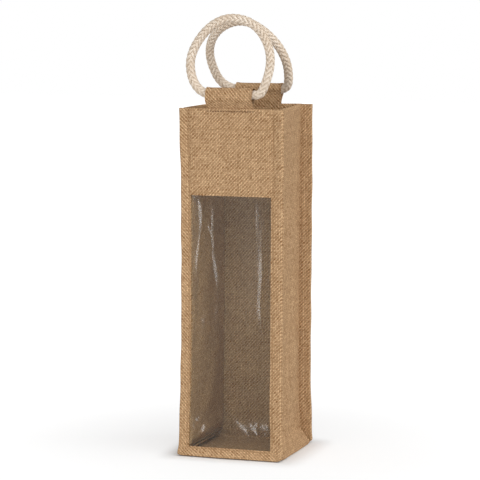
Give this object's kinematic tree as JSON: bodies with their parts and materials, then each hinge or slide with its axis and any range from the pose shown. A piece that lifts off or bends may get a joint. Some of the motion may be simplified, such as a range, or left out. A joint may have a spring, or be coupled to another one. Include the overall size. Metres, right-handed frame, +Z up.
{
  "type": "bottle carrier",
  "caption": "Tall square jute bag for a wine bottle, with sewn seam flanges, a clear film window in the front and a rope loop handle in a cloth sleeve on each top edge.",
  "frame": {"origin": "on the floor under the middle of the bag", "axes": "+X to the right as seen from the window side, +Y to the back, +Z up"},
  "size_m": [0.11, 0.1124, 0.4544],
  "materials": {
    "jute_cloth": "plain-woven natural jute, matt, with slubs",
    "clear_film": "clear soft PVC film, glossy",
    "sewing_thread": "spun thread in the cloth's colour",
    "cotton_rope": "braided natural cotton, matt",
    "rope_binding": "cotton tape wrap"
  },
  "bodies": {
    "bag": {"front_panel": "jute_cloth", "back_panel": "jute_cloth", "left_gusset": "jute_cloth", "right_gusset": "jute_cloth", "base_panel": "jute_cloth", "front_handle_sleeve": "jute_cloth", "back_handle_sleeve": "jute_cloth", "window_pane": "clear_film", "front_seam_stitching": "sewing_thread", "front_hem_stitching": "sewing_thread", "front_sleeve_stitching": "sewing_thread", "back_seam_stitching": "sewing_thread", "back_hem_stitching": "sewing_thread", "back_sleeve_stitching": "sewing_thread", "window_stitching": "sewing_thread", "left_hem_stitching": "sewing_thread", "left_base_stitching": "sewing_thread", "right_hem_stitching": "sewing_thread", "right_base_stitching": "sewing_thread"},
    "front_handle": {"front_rope": "cotton_rope", "front_rope_binding": "rope_binding"},
    "back_handle": {"back_rope": "cotton_rope", "back_rope_binding": "rope_binding"}
  },
  "joints": [
    {"name": "front_handle_swing", "type": "hinge", "parent": "bag", "child": "front_handle", "pos_m": [0, -0.0497, 0.3745], "axis": [1, 0, 0], "range_deg": [-33, 144]},
    {"name": "back_handle_swing", "type": "hinge", "parent": "bag", "child": "back_handle", "pos_m": [0, 0.0497, 0.3745], "axis": [1, 0, 0], "range_deg": [-172, 3]}
  ]
}
